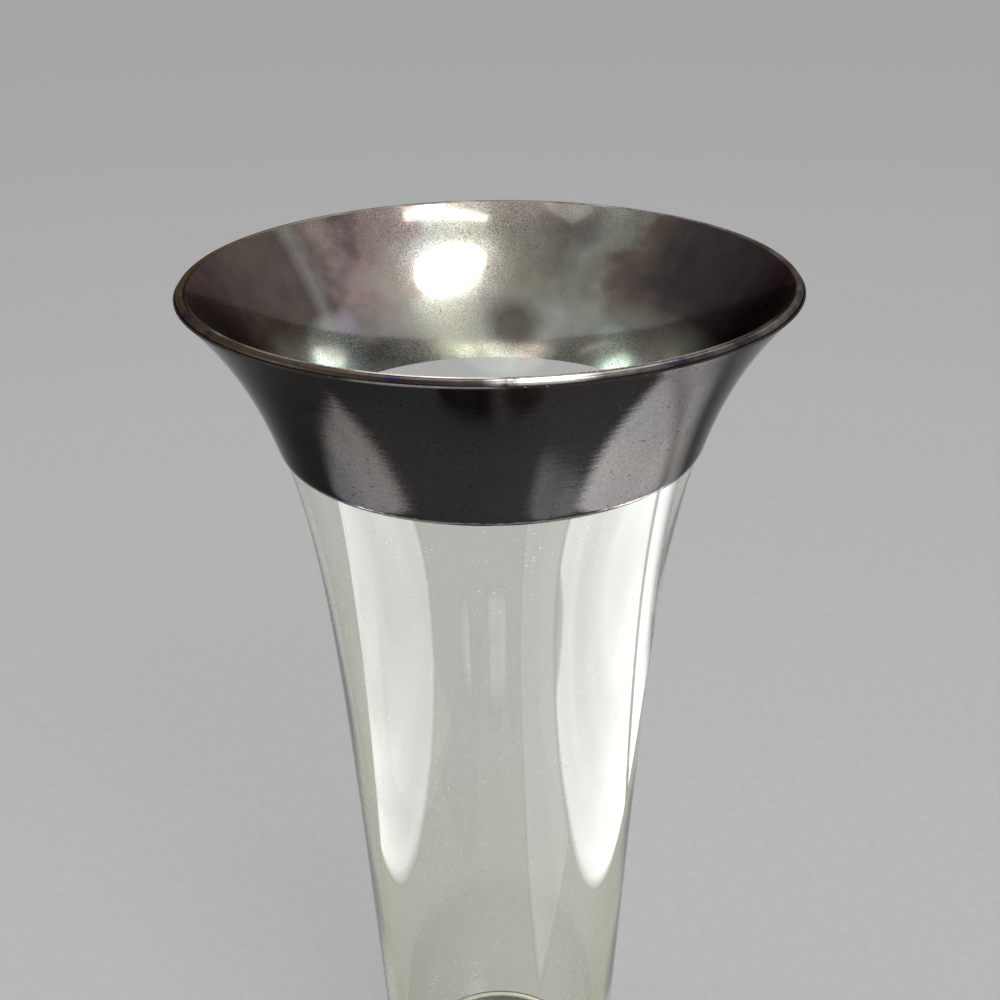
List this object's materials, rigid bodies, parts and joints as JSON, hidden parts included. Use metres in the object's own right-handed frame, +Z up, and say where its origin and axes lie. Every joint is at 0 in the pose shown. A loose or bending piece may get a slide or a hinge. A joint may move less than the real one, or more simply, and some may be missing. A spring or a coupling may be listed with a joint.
{
  "type": "trumpet vase",
  "caption": "Clear glass trumpet vase with a deep tarnished silver collar at its flared mouth, on a loaded silver foot.",
  "frame": {"origin": "middle of the underside, on the axis of the vase", "axes": "+Z up the axis of the vase, towards the mouth; +X to the right and -Y to the front, though the vase is round"},
  "size_m": [0.1, 0.1, 0.254],
  "materials": {
    "clear_glass": "clear, with dust",
    "tarnished_silver": "glossy, almost black with tarnish",
    "toned_silver": "glossy, toned grey, gold and lilac",
    "cement": "matt",
    "plaster": "matt",
    "steel": "plain",
    "pitch": "dull black",
    "millboard": "matt",
    "baize": "napped green wool"
  },
  "bodies": {
    "root": {"glass_trumpet": "clear_glass", "collar_sleeve": "tarnished_silver", "collar_lining": "toned_silver", "collar_cement": "cement", "rim_wire": "toned_silver", "socket_cup": "tarnished_silver", "socket_wire": "tarnished_silver", "socket_plaster": "plaster", "stem_knop": "tarnished_silver", "foot_shell": "tarnished_silver", "foot_border": "tarnished_silver", "tie_bolt": "steel", "tie_washer": "steel", "tie_nut": "steel", "foot_loading": "pitch", "base_disc": "millboard", "baize_pad": "baize"}
  },
  "joints": []
}
